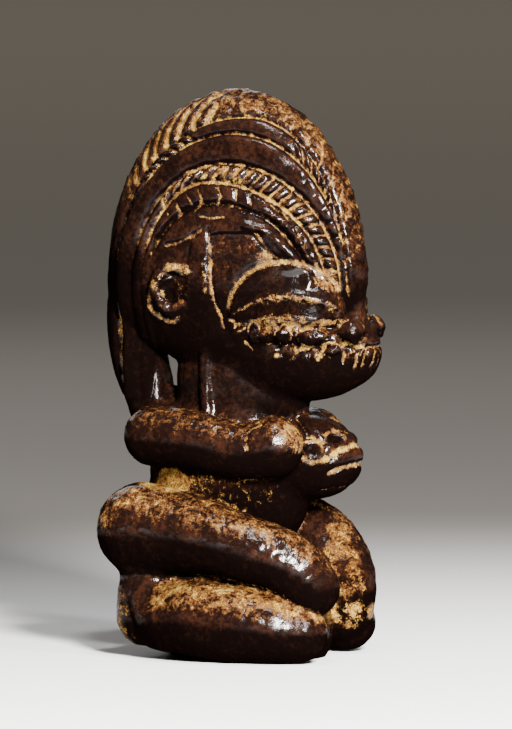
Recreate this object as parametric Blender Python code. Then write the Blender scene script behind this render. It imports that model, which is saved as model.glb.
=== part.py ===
"""A seated steatite nomoli figure, carved in one stone: a huge head with lidded eyes under a coiffure of
nested bands, a long queue at the nape, hands clasped under the chin and folded legs.

The figure faces -Y, its right hand is towards -X, and it stands on Z = 0.
Its forms are written in the carver's axes: forward, side (towards its right hand) and up.
They are drawn in millimetres for a figure DRAWN_HEIGHT tall, and HEIGHT sets the real size.
"""
import math

import bmesh
import bpy
import numpy as np

# Driving sizes, in metres.
HEIGHT = 0.1990
SLOT_WIDTH = 0.0046
GROOVE_DEPTH = 0.0012
GROOVE_WIDTH = 0.0022
LID_STEP = 0.0018
SKIN_CELL = 0.0014

FACETS = 9600
DRAWN_HEIGHT = 199.0
SCALE = HEIGHT / DRAWN_HEIGHT

# Forms further off than this, in drawn millimetres, don't shape the skin.
FAR = 9.0

STONE_COLOUR = (0.055, 0.026, 0.012, 1.0)
STONE_ROUGHNESS = 0.32


# Tools of the form

def smooth_union(a, b, blend):
    """The nearer of two distances, with the crease between the forms rounded over blend."""
    share = np.clip(0.5 + 0.5 * (b - a) / blend, 0.0, 1.0)
    return b + (a - b) * share - blend * share * (1.0 - share)


def bump(distance, width):
    """1 on a line and close to 0 from one width away."""
    return np.exp(-((1.5 * distance / width) ** 2))


def ramp(value, low, high):
    """0 below low, 1 above high, and smooth between."""
    t = np.clip((value - low) / (high - low), 0.0, 1.0)
    return t * t * (3.0 - 2.0 * t)


def smooth_path(stations, steps):
    """A Catmull-Rom curve through the stations, with steps pieces between each two."""
    stations = np.array(stations, float)
    ends = np.vstack([2 * stations[0] - stations[1], stations, 2 * stations[-1] - stations[-2]])
    path = []
    for p0, p1, p2, p3 in zip(ends[:-3], ends[1:-2], ends[2:-1], ends[3:]):
        for t in np.arange(steps) / steps:
            bend = (2 * p0 - 5 * p1 + 4 * p2 - p3) * t * t + (3 * p1 - p0 - 3 * p2 + p3) * t**3
            path.append(p1 + 0.5 * ((p2 - p0) * t + bend))
    return np.array(path + [stations[-1]])


def near_path(points, path):
    """Distance to a path in as many axes as it has."""
    nearest = np.full(len(points), np.inf)
    for a, b in zip(path[:-1], path[1:]):
        along = b - a
        t = np.clip((points - a) @ along / (along @ along), 0.0, 1.0)
        nearest = np.minimum(nearest, np.linalg.norm(points - a - t[:, None] * along, axis=1))
    return nearest


class Egg:
    """An ellipsoid whose lower half can be shallower than its upper one."""

    def __init__(self, centre, radii, under=None, blend=2.0, side="both"):
        self.centre = np.array(centre, float)
        self.radii = np.array(radii, float)
        self.under = under or radii[2]
        self.blend = blend
        self.side = side

    def distance(self, points):
        q = points - self.centre
        radii = np.where(q[:, 2:] < 0, [*self.radii[:2], self.under], self.radii)
        near = np.linalg.norm(q / radii, axis=1)
        steep = np.linalg.norm(q / radii**2, axis=1)
        return near * (near - 1.0) / np.maximum(steep, 1e-6)

    def balls(self):
        return [(self.centre, self.radii, self.under)]


class Limb:
    """A round limb on a smooth curve through stations of forward, side, up and radius."""

    def __init__(self, stations, blend=2.0, side="both", steps=3):
        self.path = smooth_path(stations, steps)
        self.blend = blend
        self.side = side

    def distance(self, points):
        """Exact near the limb, and FAR where the limb can't matter."""
        low = (self.path[:, :3] - self.path[:, 3:]).min(0) - FAR
        high = (self.path[:, :3] + self.path[:, 3:]).max(0) + FAR
        close = np.all((points > low) & (points < high), axis=1)
        x, y, z = points[close].T
        nearest = np.full(len(x), FAR)
        for a, b in zip(self.path[:-1], self.path[1:]):
            ax, ay, az = b[:3] - a[:3]
            px, py, pz = x - a[0], y - a[1], z - a[2]
            t = np.clip((px * ax + py * ay + pz * az) / (ax * ax + ay * ay + az * az), 0.0, 1.0)
            away = np.sqrt((px - t * ax) ** 2 + (py - t * ay) ** 2 + (pz - t * az) ** 2)
            nearest = np.minimum(nearest, away - a[3] - t * (b[3] - a[3]))
        distance = np.full(len(points), FAR)
        distance[close] = nearest
        return distance

    def balls(self):
        found = []
        for a, b in zip(self.path[:-1], self.path[1:]):
            count = 1 + int(np.linalg.norm(b[:3] - a[:3]) / max(0.45 * min(a[3], b[3]), 1.2))
            for t in np.linspace(0.0, 1.0, count + 1)[:-1]:
                c = a + t * (b - a)
                found.append((c[:3], np.full(3, c[3]), c[3]))
        end = self.path[-1]
        return found + [(end[:3], np.full(3, end[3]), end[3])]


# The forms

def head_forms():
    crown = Egg((-0.9, 0, 133.5), (47.0, 25.0, 65.0), under=34, blend=3)
    queue = Limb([(-38.6, 0, 130, 9.6), (-39.2, 0, 118, 9.7), (-38.6, 0, 109, 9.5), (-36.8, 0, 101, 9.3),
                  (-34.0, 0, 93, 9.0), (-30.5, 0, 84, 9.5)], blend=2)
    face = Egg((8, 0, 121), (35, 21.5, 26), blend=3)
    jaw = Egg((21.5, 0, 107.5), (30.5, 20, 17.5), blend=3)
    bridge = Limb([(38.5, 0, 134, 5.5), (39.8, 0, 124, 5.5), (42, 0, 117.5, 5)], blend=2)
    eye = Egg((23.4, 12, 120.5), (19.5, 13.2, 18.6), under=5, blend=0.8)
    nostril = Egg((43.6, 9.4, 115.6), (5.6, 5.4, 4.8), blend=0.5)
    cheek = Limb([(13, 19.5, 113.5, 2.5), (23, 19.8, 115.5, 3.6), (33, 17.2, 114.3, 3.8),
                  (38.5, 13.5, 112, 2.8)], blend=1.0)
    lip = Limb([(33, 15.8, 106.5, 2.2), (40.5, 12.5, 109.3, 3.0), (46.2, 5.5, 110, 2.6), (47.4, 0, 110, 2.4)],
               blend=0.8)
    return [crown, queue, face, jaw, bridge, eye, nostril, cheek, lip, ear(), sidelock()]


def ear():
    """The ear's rim, a C open to the front."""
    rim = []
    for degrees in range(50, 311, 26):
        turn = math.radians(degrees)
        rim.append((-17.0 + 6.0 * math.cos(turn), 22.0, 130.2 + 8.2 * math.sin(turn), 2.2))
    return Limb(rim, blend=0.6, steps=2)


def sidelock():
    """The lock that hangs before the ear."""
    return Limb([(-5.6, 22.0, 152, 1.4), (-6.2, 22.4, 143, 2.1), (-6.0, 21.8, 131, 2.3), (-4.0, 20.0, 119, 2.0)],
                blend=1.0)


def body_forms():
    neck = Egg((1.5, 0, 96), (24.3, 17, 36), blend=2)
    arris = Limb([(-6.8, 15.2, 112, 2.0), (-7.0, 15.6, 99, 2.2), (-6.2, 16.6, 87, 2.2)], blend=1.5)
    torso = Egg((-3, 0, 64), (29.5, 22, 34), blend=3)
    shoulders = Limb([(-25, 18, 78, 10), (-26, 9, 79, 9), (-26, 0, 79, 8.5)], blend=3)
    arm = Limb([(-24.6, 20, 78, 10.5), (-8, 23, 77, 10.4), (8, 23.3, 73.8, 9.6), (20, 21, 75.5, 10.8)],
               blend=1.5)
    hands = Egg((25, 0, 70.3), (20.3, 15.5, 15), blend=3.0)
    return [neck, arris, torso, shoulders, arm, hands]


def leg_forms():
    right_thigh = Limb([(-28.6, 19.5, 45.0, 16.6), (-8, 24, 44, 13.5), (10, 26, 40, 12), (26, 24, 34.5, 11.5),
                        (34.0, 21.5, 26.5, 10.3)], blend=1.0, side="right")
    left_thigh = Limb([(-28.6, 19.5, 45.0, 16.6), (-8, 23, 46, 14), (10, 23, 44, 13.5), (23.5, 21, 37.5, 13.0),
                       (30.5, 20, 27, 12.3), (30.5, 20.5, 15.5, 11.5)], blend=1.0, side="left")
    shin = Limb([(-14, 28, 14.5, 11), (-4, 29.5, 15, 13.2), (8, 29.5, 14, 13.2), (22, 28, 12.5, 12),
                 (31, 25, 10.7, 10.2)], blend=1.0)
    foot = Limb([(-20, 22, 14, 11.5), (-27.6, 20, 24, 10), (-28.5, 19.5, 14, 9.8)], blend=4.5)
    rump = Egg((-24, 0, 44), (18.5, 27, 17), blend=4)
    seat = Egg((-2, 0, 20), (34, 27, 27), blend=3)
    ankles = Egg((18, 0, 8), (15, 22, 14), blend=2)
    return [right_thigh, left_thigh, shin, foot, rump, seat, ankles]


FORMS = head_forms() + body_forms() + leg_forms()

# The open slot between the nape and the queue: an ellipse in the side plane that runs right through.
SLOT_CENTRE = (-25.1, 98.0)
SLOT_HALF_HEIGHT = 8.0


def slot_distance(points):
    half_width = 0.5 * SLOT_WIDTH / SCALE
    forward, up = points[:, 0] - SLOT_CENTRE[0], points[:, 2] - SLOT_CENTRE[1]
    near = np.hypot(forward / half_width, up / SLOT_HALF_HEIGHT)
    steep = np.hypot(forward / half_width**2, up / SLOT_HALF_HEIGHT**2)
    return near * (near - 1.0) / np.maximum(steep, 1e-6)


def stone(points):
    """Signed distance to the figure's forms, before the fine carving."""
    folded = points * [1, 0, 1] + np.abs(points) * [0, 1, 0]
    seen_from = {"both": folded, "right": points, "left": points * [1, -1, 1]}
    distance = FORMS[0].distance(folded)
    for form in FORMS[1:]:
        distance = smooth_union(distance, form.distance(seen_from[form.side]), form.blend)
    return np.maximum(distance, -slot_distance(points))


def probe(points, reach=0.15):
    """The distance, and the direction in which it grows fastest, from four corners round each point."""
    corners = np.array([[1, 1, 1], [1, -1, -1], [-1, 1, -1], [-1, -1, 1]], float)
    distances = [stone(points + corner * reach) for corner in corners]
    slope = sum(away[:, None] * corner for away, corner in zip(distances, corners))
    return sum(distances) / 4, slope / np.maximum(np.linalg.norm(slope, axis=1), 1e-9)[:, None]


# The carving, as heights over the forms

# The hair's nested lines on each side of the head: half ellipses over ARCH_FOOT that run straight down below
# it. Each is its centre's place forward, its reach to the front, to the back and up.
ARCH_FOOT = 130.0
HAIR_LINES = [(6.6, 36.4, 48.4, 60.2), (4.3, 39.0, 45.0, 54.2), (2.1, 39.4, 36.0, 43.9),
              (-3.2, 40.6, 26.5, 37.4), (-1.5, 33.5, 25.5, 30.0)]
ROLL_HEIGHTS = (0.5, 1.1, 0.6, 0.5)
CREST_HEIGHT = 0.5


def arch(points, normals, line):
    """Distance along the skin to a hair line, above 0 outside it."""
    centre, front, back, up = line
    f, z = points[:, 0] - centre, np.maximum(points[:, 2] - ARCH_FOOT, 0.0)
    reach = np.where(f > 0, front, back)
    near = np.hypot(f / reach, z / up)
    steep = np.maximum(np.hypot(f / reach**2, z / up**2), 1e-6)
    across = (f / reach**2 * normals[:, 0] + z / up**2 * normals[:, 2]) / steep
    slant = np.sqrt(np.clip(1.0 - across**2, 0.09, 1.0))
    return near * (near - 1.0) / steep / slant


def eye_outline(points):
    """Distance outside the eye's dome, in the side plane."""
    f, z = points[:, 0] - 24.0, points[:, 2] - 120.5
    return (np.hypot(f / 19.3, z / 18.8) - 1.0) * 19.0


def hair_mask(points):
    """1 where there is hair: over the head and down the queue, but not on the temple, eye and face."""
    f, z = points[:, 0], points[:, 2]
    brow = ramp(eye_outline(points), 0.4, 2.4)
    hairline = 150.0 - 1.05 * np.maximum(f - 14.5, 0.0)
    above = ramp(z - hairline, -0.6, 0.8)
    behind = ramp(-8.0 - f, -0.8, 0.8)
    return np.maximum(above, behind) * brow * np.maximum(ramp(z, 108, 114), ramp(-26 - f, -1, 1))


def coiffure(points, normals):
    groove = GROOVE_DEPTH / SCALE
    width = GROOVE_WIDTH / SCALE
    lines = [arch(points, normals, line) for line in HAIR_LINES]
    height = CREST_HEIGHT * ramp(lines[0], 0.0, 2.5)
    for outer, inner, roll in zip(lines[:-1], lines[1:], ROLL_HEIGHTS):
        across = np.clip(inner / np.maximum(inner - outer, 0.5), 0.0, 1.0)
        height += roll * np.sqrt(4 * across * (1 - across)) * (outer < 0) * (inner > 0)
    for number, line in enumerate(lines):
        fade = 1.0 if number < 2 else ramp(points[:, 2], 138, 146)
        fade = np.maximum(fade, ramp(points[:, 0], 0, 8))
        height -= groove * bump(line, width) * fade
    return height * hair_mask(points) * ramp(points[:, 2], 88, 94)


def crest_notches(points, normals):
    """The bold slanting notches over the back of the crest."""
    outer = arch(points, normals, HAIR_LINES[0])
    turn = np.degrees(np.arctan2(points[:, 2] - 128.0, points[:, 0] + 2.0))
    wave = 0.5 + 0.5 * np.cos(2 * math.pi * (turn - 0.9 * outer) / 6.6)
    where = ramp(turn, 92, 97) * ramp(150 - turn, 0, 8) * ramp(outer, 0.0, 1.5) * (points[:, 2] > 128)
    return -0.9 * wave * where


def temple(points):
    """The sunk cheek between the sidelock, the hairline and the eye."""
    f, z = points[:, 0], points[:, 2]
    hairline = 150.0 - 1.05 * np.maximum(f - 14.5, 0.0)
    inside = ramp(f, -3.6, -1.8) * ramp(hairline - z, 0.0, 1.2) * ramp(z, 110, 120)
    return -1.1 * inside * ramp(eye_outline(points), 0.0, 1.5)


def eye_opening(points, normals):
    """The heavy upper lid stands out over the slit of the eye, and the slit over the lower lid."""
    f, z = points[:, 0], points[:, 2]
    sideways = ramp(normals[:, 1], 0.25, 0.6) * ramp(points[:, 1], 10, 13)
    upper = 128.2 - 0.0165 * (f - 25.5) ** 2
    lower = 121.8 - 0.0080 * (f - 26.0) ** 2
    on_dome = ramp(-eye_outline(points), -1.0, 1.0)
    slit = ramp(upper - z, 0.0, 0.7) * ramp(z - lower, -0.4, 0.4)
    under = ramp(lower - z, -0.4, 0.4) * ramp(z, 115.5, 117.5)
    rim = bump(z - upper - 1.0, 1.6) * 0.4
    return (rim - LID_STEP / SCALE * (slit + 0.45 * under)) * on_dome * sideways


def brow_groove(points):
    """The groove round the upper edge of the eye's dome."""
    edge = bump(eye_outline(points) - 0.7, 1.8)
    return -0.9 * edge * ramp(points[:, 2], 120, 125) * ramp(44 - points[:, 0], 0, 3)


def ear_hollow(points):
    f, z = points[:, 0] + 15.5, points[:, 2] - 130.0
    return -1.3 * ramp(1.0 - np.hypot(f / 5.0, z / 6.5), 0.0, 0.5)


def mouth(points):
    """The mouth's line, the teeth across the muzzle and the creases round the nostrils."""
    f, side, z = points.T
    line = smooth_path([(22, 104.5), (32, 105.2), (39, 108.0), (44, 107.2), (52, 107.6)], 4)
    flat = np.stack([f, z], 1)
    height = -0.9 * bump(near_path(flat, line), 1.6)
    teeth = 0.5 + 0.5 * np.cos(2 * math.pi * side / 3.7)
    height -= 0.7 * teeth * ramp(f, 44, 46) * ramp(z, 101, 103) * ramp(107.4 - z, 0, 1.0)
    return height


def fingers(points):
    """The gaps between the fingers, which slope up round the front of the clasped hands."""
    f, z = points[:, 0], points[:, 2]
    height = 0.0
    for start, end in (((31.0, 79.6), (38.5, 76.0)), ((36.0, 72.0), (47.0, 76.4)), ((38.0, 65.8), (48.0, 70.0)),
                       ((34.0, 61.5), (44.0, 64.0))):
        gap = near_path(np.stack([f, z], 1), np.array([start, end]))
        height = height - 1.3 * bump(gap, 2.0)
    hollow = np.hypot((f - 33.5) / 4.4, (z - 74.6) / 3.4)
    return height - 1.3 * ramp(1.25 - hollow, 0.0, 0.5)


def carving(points, normals):
    folded = points * [1, 0, 1] + np.abs(points) * [0, 1, 0]
    facing = normals * [1, 0, 1] + np.abs(normals) * [0, 1, 0]
    head = ramp(folded[:, 2], 86, 92)
    height = coiffure(folded, facing) + crest_notches(folded, facing)
    height += (temple(folded) + brow_groove(folded)) * ramp(folded[:, 1], 8, 12) + eye_opening(folded, facing)
    height += ear_hollow(folded) * ramp(folded[:, 1], 16, 20)
    height += mouth(folded)
    hands = ramp(folded[:, 0], 24, 28) * ramp(84 - folded[:, 2], 0, 2) * ramp(folded[:, 2], 55, 60)
    return height * head + fingers(folded) * hands


# The solid

def to_figure(points):
    return np.stack([-points[:, 1], -points[:, 0], points[:, 2]], 1)


def to_world(points):
    return np.stack([-points[:, 1], -points[:, 0], points[:, 2]], 1)


def unit_ball(subdivisions):
    """An icosphere of radius 1 as arrays of corners and triangles."""
    bm = bmesh.new()
    bmesh.ops.create_icosphere(bm, subdivisions=subdivisions, radius=1)
    corners = np.array([vert.co[:] for vert in bm.verts])
    triangles = np.array([[vert.index for vert in face.verts] for face in bm.faces])
    bm.free()
    return corners, triangles


def rough_mesh():
    """Every form as balls and eggs in one mesh."""
    coarse, fine = unit_ball(2), unit_ball(4)
    corners, triangles, count = [], [], 0
    for form in FORMS:
        for centre, radii, under in form.balls():
            shape, faces = fine if radii[2] > 12 else coarse
            ball = shape * radii
            ball[:, 2] = np.where(ball[:, 2] < 0, ball[:, 2] * under / radii[2], ball[:, 2])
            sides = {"both": (1, -1), "right": (1,), "left": (-1,)}[form.side]
            for side in sides[:1] if centre[1] == 0 else sides:
                corners.append(ball + centre * [1, side, 1])
                triangles.append(faces[:, ::-1] + count)
                count += len(ball)
    mesh = bpy.data.meshes.new("rough")
    mesh.from_pydata(to_world(np.concatenate(corners)).tolist(), [], np.concatenate(triangles).tolist())
    mesh.update()
    return mesh


def evaluated(obj, kind, **settings):
    """The object's mesh after one modifier."""
    modifier = obj.modifiers.new(kind, kind)
    for name, value in settings.items():
        setattr(modifier, name, value)
    graph = bpy.context.evaluated_depsgraph_get()
    mesh = bpy.data.meshes.new_from_object(obj.evaluated_get(graph))
    obj.modifiers.clear()
    return mesh


def carve(mesh):
    """Settle the skin on the forms, then cut the carving into it."""
    flat = np.zeros(len(mesh.vertices) * 3, np.float32)
    mesh.vertices.foreach_get("co", flat)
    points = to_figure(flat.reshape(-1, 3).astype(float))
    for _ in range(3):
        distance, normals = probe(points)
        points -= normals * np.clip(distance, -1.5, 1.5)[:, None]
    points += normals * carving(points, normals)[:, None]
    mesh.vertices.foreach_set("co", (to_world(points) * SCALE).astype(np.float32).ravel())
    mesh.update()


def drop_crumbs(bm):
    """Keep only the piece of skin that is joined to the topmost point."""
    reached = {max(bm.verts, key=lambda vert: vert.co.z)}
    edge_of_reach = list(reached)
    while edge_of_reach:
        vert = edge_of_reach.pop()
        for edge in vert.link_edges:
            other = edge.other_vert(vert)
            if other not in reached:
                reached.add(other)
                edge_of_reach.append(other)
    crumbs = [vert for vert in bm.verts if vert not in reached]
    bmesh.ops.delete(bm, geom=crumbs, context="VERTS")


def cut_flat(mesh):
    """Cut the underside flat on Z = 0 and close it."""
    bm = bmesh.new()
    bm.from_mesh(mesh)
    drop_crumbs(bm)
    everything = bm.verts[:] + bm.edges[:] + bm.faces[:]
    bmesh.ops.bisect_plane(bm, geom=everything, dist=1e-5, plane_co=(0, 0, 0), plane_no=(0, 0, 1),
                           clear_inner=True)
    rim = [edge for edge in bm.edges if edge.is_boundary]
    bmesh.ops.triangle_fill(bm, use_beauty=True, edges=rim)
    bmesh.ops.dissolve_degenerate(bm, dist=5e-5, edges=bm.edges[:])
    bmesh.ops.recalc_face_normals(bm, faces=bm.faces[:])
    bmesh.ops.triangulate(bm, faces=bm.faces[:])
    bm.to_mesh(mesh)
    bm.free()


def stone_material():
    material = bpy.data.materials.new("steatite")
    material.use_nodes = True
    shader = material.node_tree.nodes["Principled BSDF"]
    shader.inputs["Base Color"].default_value = STONE_COLOUR
    shader.inputs["Roughness"].default_value = STONE_ROUGHNESS
    shader.inputs["Metallic"].default_value = 0.0
    return material


def build():
    for obj in list(bpy.data.objects):
        bpy.data.objects.remove(obj)
    figure = bpy.data.objects.new("nomoli_figure", rough_mesh())
    bpy.context.scene.collection.objects.link(figure)
    cell = SKIN_CELL / SCALE
    figure.data = evaluated(figure, "REMESH", mode="VOXEL", voxel_size=cell, adaptivity=0.0)
    carve(figure.data)
    facets = 2 * len(figure.data.polygons)
    figure.data = evaluated(figure, "DECIMATE", ratio=FACETS / facets)
    cut_flat(figure.data)
    figure.data.materials.append(stone_material())
    figure.data.shade_smooth()


build()
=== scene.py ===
# %% [markdown]
# # A carved nomoli figure
# A nomoli is a small seated figure carved from one lump of soapstone. This one has a huge head under a
# coiffure of nested bands, lidded eyes, a muzzle, clasped hands and folded legs. The imported model is its
# measured solid: it gives the size and the place.

# %% Load the measured solid
import math

import bmesh
import bpy
import numpy as np
from mathutils import Matrix, Vector, noise


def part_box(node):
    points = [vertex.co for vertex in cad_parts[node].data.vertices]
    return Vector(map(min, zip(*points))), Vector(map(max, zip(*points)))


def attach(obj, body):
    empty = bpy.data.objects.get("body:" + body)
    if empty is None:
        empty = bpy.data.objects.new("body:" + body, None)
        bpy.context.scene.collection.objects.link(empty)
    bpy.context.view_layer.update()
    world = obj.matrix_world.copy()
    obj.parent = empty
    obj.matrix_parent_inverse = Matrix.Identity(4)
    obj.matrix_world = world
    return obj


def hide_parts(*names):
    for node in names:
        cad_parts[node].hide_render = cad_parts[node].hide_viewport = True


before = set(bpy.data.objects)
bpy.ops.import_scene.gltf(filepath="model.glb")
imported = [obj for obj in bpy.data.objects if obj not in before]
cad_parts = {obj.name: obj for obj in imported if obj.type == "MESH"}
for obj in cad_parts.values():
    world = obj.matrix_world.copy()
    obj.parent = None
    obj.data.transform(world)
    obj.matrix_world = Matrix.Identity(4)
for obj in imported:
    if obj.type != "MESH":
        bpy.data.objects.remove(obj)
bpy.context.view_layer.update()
FIGURE = "nomoli_figure"
DRAWN_HEIGHT = 199.0
solid_low, solid_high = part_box(FIGURE)
MM = (solid_high[2] - solid_low[2]) / DRAWN_HEIGHT
print("one drawn millimetre is", round(MM * 1000, 4), "mm on the solid")

# %% [markdown]
# ## Where the eye stands
# The figure is seen from its right, 20 degrees short of its profile and a little from above. A long lens far
# away keeps the upright lines upright, as in a catalogue picture, so the camera is placed by its direction
# and by how much of the figure's height the frame takes in.

# %% Camera
CAMERA_AZIMUTH = math.radians(-70)
CAMERA_ELEVATION = math.radians(4)
CAMERA_DISTANCE = 4.0
FRAME_HEIGHT = 0.2558
FILM = 36.0
AIM = Vector((0, 0, 0.1))
SHIFT_RIGHT, SHIFT_UP = 0.0056, 0.0023


def camera_axes(azimuth, elevation):
    """Right, up and back of a camera that looks at the figure from there."""
    back = Vector((math.sin(azimuth) * math.cos(elevation), -math.cos(azimuth) * math.cos(elevation),
                   math.sin(elevation)))
    right = Vector((math.cos(azimuth), math.sin(azimuth), 0))
    return right, back.cross(right), back


right, up, back = camera_axes(CAMERA_AZIMUTH, CAMERA_ELEVATION)
eye = bpy.data.cameras.new("eye")
eye.lens = FILM * CAMERA_DISTANCE / FRAME_HEIGHT
eye.sensor_width = FILM
eye.clip_start = 0.1
eye.clip_end = 30
camera = bpy.data.objects.new("eye", eye)
camera.matrix_world = Matrix((right, up, back)).transposed().to_4x4()
camera.location = AIM + right * SHIFT_RIGHT + up * SHIFT_UP + back * CAMERA_DISTANCE
bpy.context.scene.collection.objects.link(camera)
bpy.context.scene.camera = camera
print("lens", round(eye.lens), "mm at", CAMERA_DISTANCE, "m")

# %% [markdown]
# ## Shader arithmetic
# A procedural material is a sum of masks and noises. Written as nodes one by one it is unreadable, so a small
# class wraps a socket and turns the plain operators into Math nodes, and one method makes every other node.


# %% A bench for node trees
class Wire:
    """A socket that can be used in an expression."""

    def __init__(self, bench, socket):
        self.bench = bench
        self.socket = socket

    def math(self, operation, *others):
        return self.bench.node("ShaderNodeMath", {"operation": operation}, self, *others)

    def __add__(self, other):
        return self.math("ADD", other)

    def __sub__(self, other):
        return self.math("SUBTRACT", other)

    def __rsub__(self, other):
        return self.bench.node("ShaderNodeMath", {"operation": "SUBTRACT"}, other, self)

    def __mul__(self, other):
        return self.math("MULTIPLY", other)

    __radd__ = __add__
    __rmul__ = __mul__

    def between(self, low, high):
        """0 below low, 1 above high, smooth between."""
        return self.bench.node("ShaderNodeMapRange", {"interpolation_type": "SMOOTHSTEP"}, self, low, high)


class Bench:
    """A material's node tree, with one method that makes any node."""

    def __init__(self, name):
        self.material = bpy.data.materials.new(name)
        self.material.use_nodes = True
        self.tree = self.material.node_tree
        self.tree.nodes.clear()

    def node(self, kind, settings, *values, output=0, **named):
        """Makes a node, sets it, feeds its sockets in order or by name, and returns one output."""
        made = self.tree.nodes.new(kind)
        for name, value in settings.items():
            setattr(made, name, value)
        sockets = list(zip(made.inputs, values)) + [(made.inputs[name.replace("_", " ")], value)
                                                    for name, value in named.items()]
        for socket, value in sockets:
            if isinstance(value, Wire):
                self.tree.links.new(value.socket, socket)
            elif value is not None:
                socket.default_value = value
        return Wire(self, made.outputs[output]) if made.outputs else made

    def mix(self, share, a, b):
        """A colour from a to b."""
        made = self.tree.nodes.new("ShaderNodeMix")
        made.data_type = "RGBA"
        ends = {item.identifier: item for item in made.inputs}
        for name, value in (("Factor_Float", share), ("A_Color", a), ("B_Color", b)):
            if isinstance(value, Wire):
                self.tree.links.new(value.socket, ends[name])
            else:
                ends[name].default_value = value
        return Wire(self, next(item for item in made.outputs if item.identifier == "Result_Color"))

    def noise(self, scale, detail, roughness, distortion=0.0):
        return self.node("ShaderNodeTexNoise", {}, self.place, Scale=scale, Detail=detail,
                         Roughness=roughness, Distortion=distortion)

    def painted(self, name):
        """A number kept at each corner of the mesh."""
        return self.node("ShaderNodeAttribute", {"attribute_name": name}, output="Fac")

    @property
    def place(self):
        """Where a point is on the object, in metres."""
        return self.node("ShaderNodeTexCoord", {}, output="Object")


print("bench ready")

# %% [markdown]
# ## The stage
# Studio paper has light painted into its colour: a painted pool of light makes it pale under the figure,
# painted shade turns it grey away from the lamps, and it is lightened again far off. A wide disc whose colour
# turns with the distance does this from every side, where a hanging paper would hide the figure from behind.
# The palest spot, the middle of the painted pool of light, lies before the figure, on the side of the main
# lamp.

# %% Floor and daylight
FLOOR_LIGHT_POOL = (0.95, 0.95, 0.96, 1)
FLOOR_SHADE_GREY = (0.128, 0.118, 0.106, 1)
FLOOR_FAR_LIGHT = (0.85, 0.79, 0.69, 1)
FLOOR_RADIUS = 14.0
LIGHT_POOL_AT = (-0.13, -0.15, 0.0)
SKY_OVERHEAD = (0.185, 0.172, 0.156, 1)
SKY_LEVEL = (0.020, 0.018, 0.017, 1)
SKY_FADE = (0.25, 0.85)


def make_floor():
    """A disc of studio paper whose colour paints the light: pale, then grey, then pale again with the
    distance.
    """
    bm = bmesh.new()
    bmesh.ops.create_circle(bm, cap_ends=True, segments=96, radius=FLOOR_RADIUS)
    mesh = bpy.data.meshes.new("floor")
    bm.to_mesh(mesh)
    bm.free()
    floor = bpy.data.objects.new("floor", mesh)
    bpy.context.scene.collection.objects.link(floor)
    bench = Bench("studio_paper")
    away = bench.node("ShaderNodeVectorMath", {"operation": "DISTANCE"}, bench.place, LIGHT_POOL_AT,
                      output="Value")
    # Painted light: pale where the pool of light is painted, grey as painted shade further off, lighter far
    # away.
    colour = bench.mix(away.between(0.15, 0.80), FLOOR_LIGHT_POOL, FLOOR_SHADE_GREY)
    colour = bench.mix(away.between(0.8, 6.2), colour, FLOOR_FAR_LIGHT)
    shader = bench.node("ShaderNodeBsdfPrincipled", {}, Base_Color=colour, Roughness=0.9)
    bench.node("ShaderNodeOutputMaterial", {}, Surface=shader)
    mesh.materials.append(bench.material)


def make_sky():
    """Daylight that comes mostly from above, as in a studio with a white ceiling and dark walls."""
    world = bpy.data.worlds.new("studio")
    world.use_nodes = True
    tree = world.node_tree
    where = tree.nodes.new("ShaderNodeTexCoord")
    height = tree.nodes.new("ShaderNodeSeparateXYZ")
    fade = tree.nodes.new("ShaderNodeMapRange")
    fade.inputs["From Min"].default_value, fade.inputs["From Max"].default_value = SKY_FADE
    blend = tree.nodes.new("ShaderNodeMix")
    blend.data_type = "RGBA"
    ends = {item.identifier: item for item in blend.inputs}
    ends["A_Color"].default_value = SKY_LEVEL
    ends["B_Color"].default_value = SKY_OVERHEAD
    tree.links.new(where.outputs["Generated"], height.inputs[0])
    tree.links.new(height.outputs["Z"], fade.inputs["Value"])
    tree.links.new(fade.outputs[0], ends["Factor_Float"])
    mixed = next(item for item in blend.outputs if item.identifier == "Result_Color")
    tree.links.new(mixed, tree.nodes["Background"].inputs["Color"])
    bpy.context.scene.world = world


make_floor()
make_sky()
print("floor and sky")

# %% [markdown]
# ## The lamps
# The highlights and the shadow say where the lamps were. The shadow runs away to the figure's back and left,
# so the key lamp stands low before it on its right. The small lights on the bands and on the top of the lid
# come from two weak lamps higher up. A broad faint lamp behind keeps the hidden sides readable.


# %% Lamps
def hang_lamp(name, towards, distance, size, watts, colour=(1, 1, 1)):
    """A soft lamp in a direction given as forward, side and up, aimed at the figure's chest."""
    light = bpy.data.lights.new(name, "AREA")
    light.shape = "RECTANGLE"
    light.size, light.size_y = size
    light.energy = watts
    light.color = colour
    lamp = bpy.data.objects.new(name, light)
    forward, side, height = towards
    direction = Vector((-side, -forward, height)).normalized()
    lamp.location = AIM + direction * distance
    lamp.rotation_euler = direction.to_track_quat("Z", "Y").to_euler()
    bpy.context.scene.collection.objects.link(lamp)


hang_lamp("key", (0.57, 0.785, 0.35), 1.3, (0.20, 0.20), 131, (1.0, 0.97, 0.93))
hang_lamp("glint", (0.66, 0.42, 0.62), 1.3, (0.10, 0.10), 8.5)
hang_lamp("top", (0.16, 0.34, 0.92), 1.2, (0.10, 0.10), 7)
hang_lamp("behind", (-0.50, -0.75, 0.50), 1.6, (1.0, 0.7), 5.0, (0.97, 0.98, 1.0))
print("four lamps")

# %% [markdown]
# ## Round forms
# The carver roughed the figure out as a few round masses: a tall flat head, a muzzle, a neck, arms and legs
# like bent rolls. Each mass is written as an egg or a limb that knows how far away any point is, so that two
# of them can be joined with a soft crease. All sizes are in drawn millimetres: forward, side and up.


# %% Distances to a form
FAR = 9.0


def smooth_union(a, b, blend):
    """The nearer of two distances, with the crease between the forms rounded over blend."""
    share = np.clip(0.5 + 0.5 * (b - a) / blend, 0.0, 1.0)
    return b + (a - b) * share - blend * share * (1.0 - share)


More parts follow.
